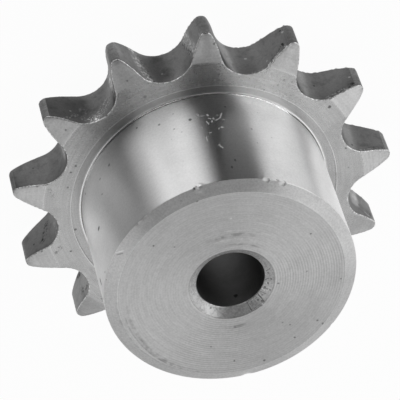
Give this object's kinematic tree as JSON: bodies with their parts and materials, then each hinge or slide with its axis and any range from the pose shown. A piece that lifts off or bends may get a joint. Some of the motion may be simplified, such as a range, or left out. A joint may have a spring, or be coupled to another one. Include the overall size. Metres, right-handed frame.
{
  "type": "chain sprocket",
  "caption": "Steel roller chain sprocket with hobbed and bevelled teeth and a plain turned hub on one side, bored through for a shaft.",
  "frame": {"origin": "on the axis of the bore, halfway across the tooth width, which is the line the chain runs on", "axes": "+Z along the bore towards the free end of the hub; +X through the middle of one tooth gap"},
  "size_m": [0.0567, 0.0572, 0.028],
  "materials": {
    "steel": "bright turned steel with fine concentric tool marks on the faces and hobbed tooth flanks"
  },
  "bodies": {
    "root": {"sprocket": "steel"}
  },
  "joints": []
}
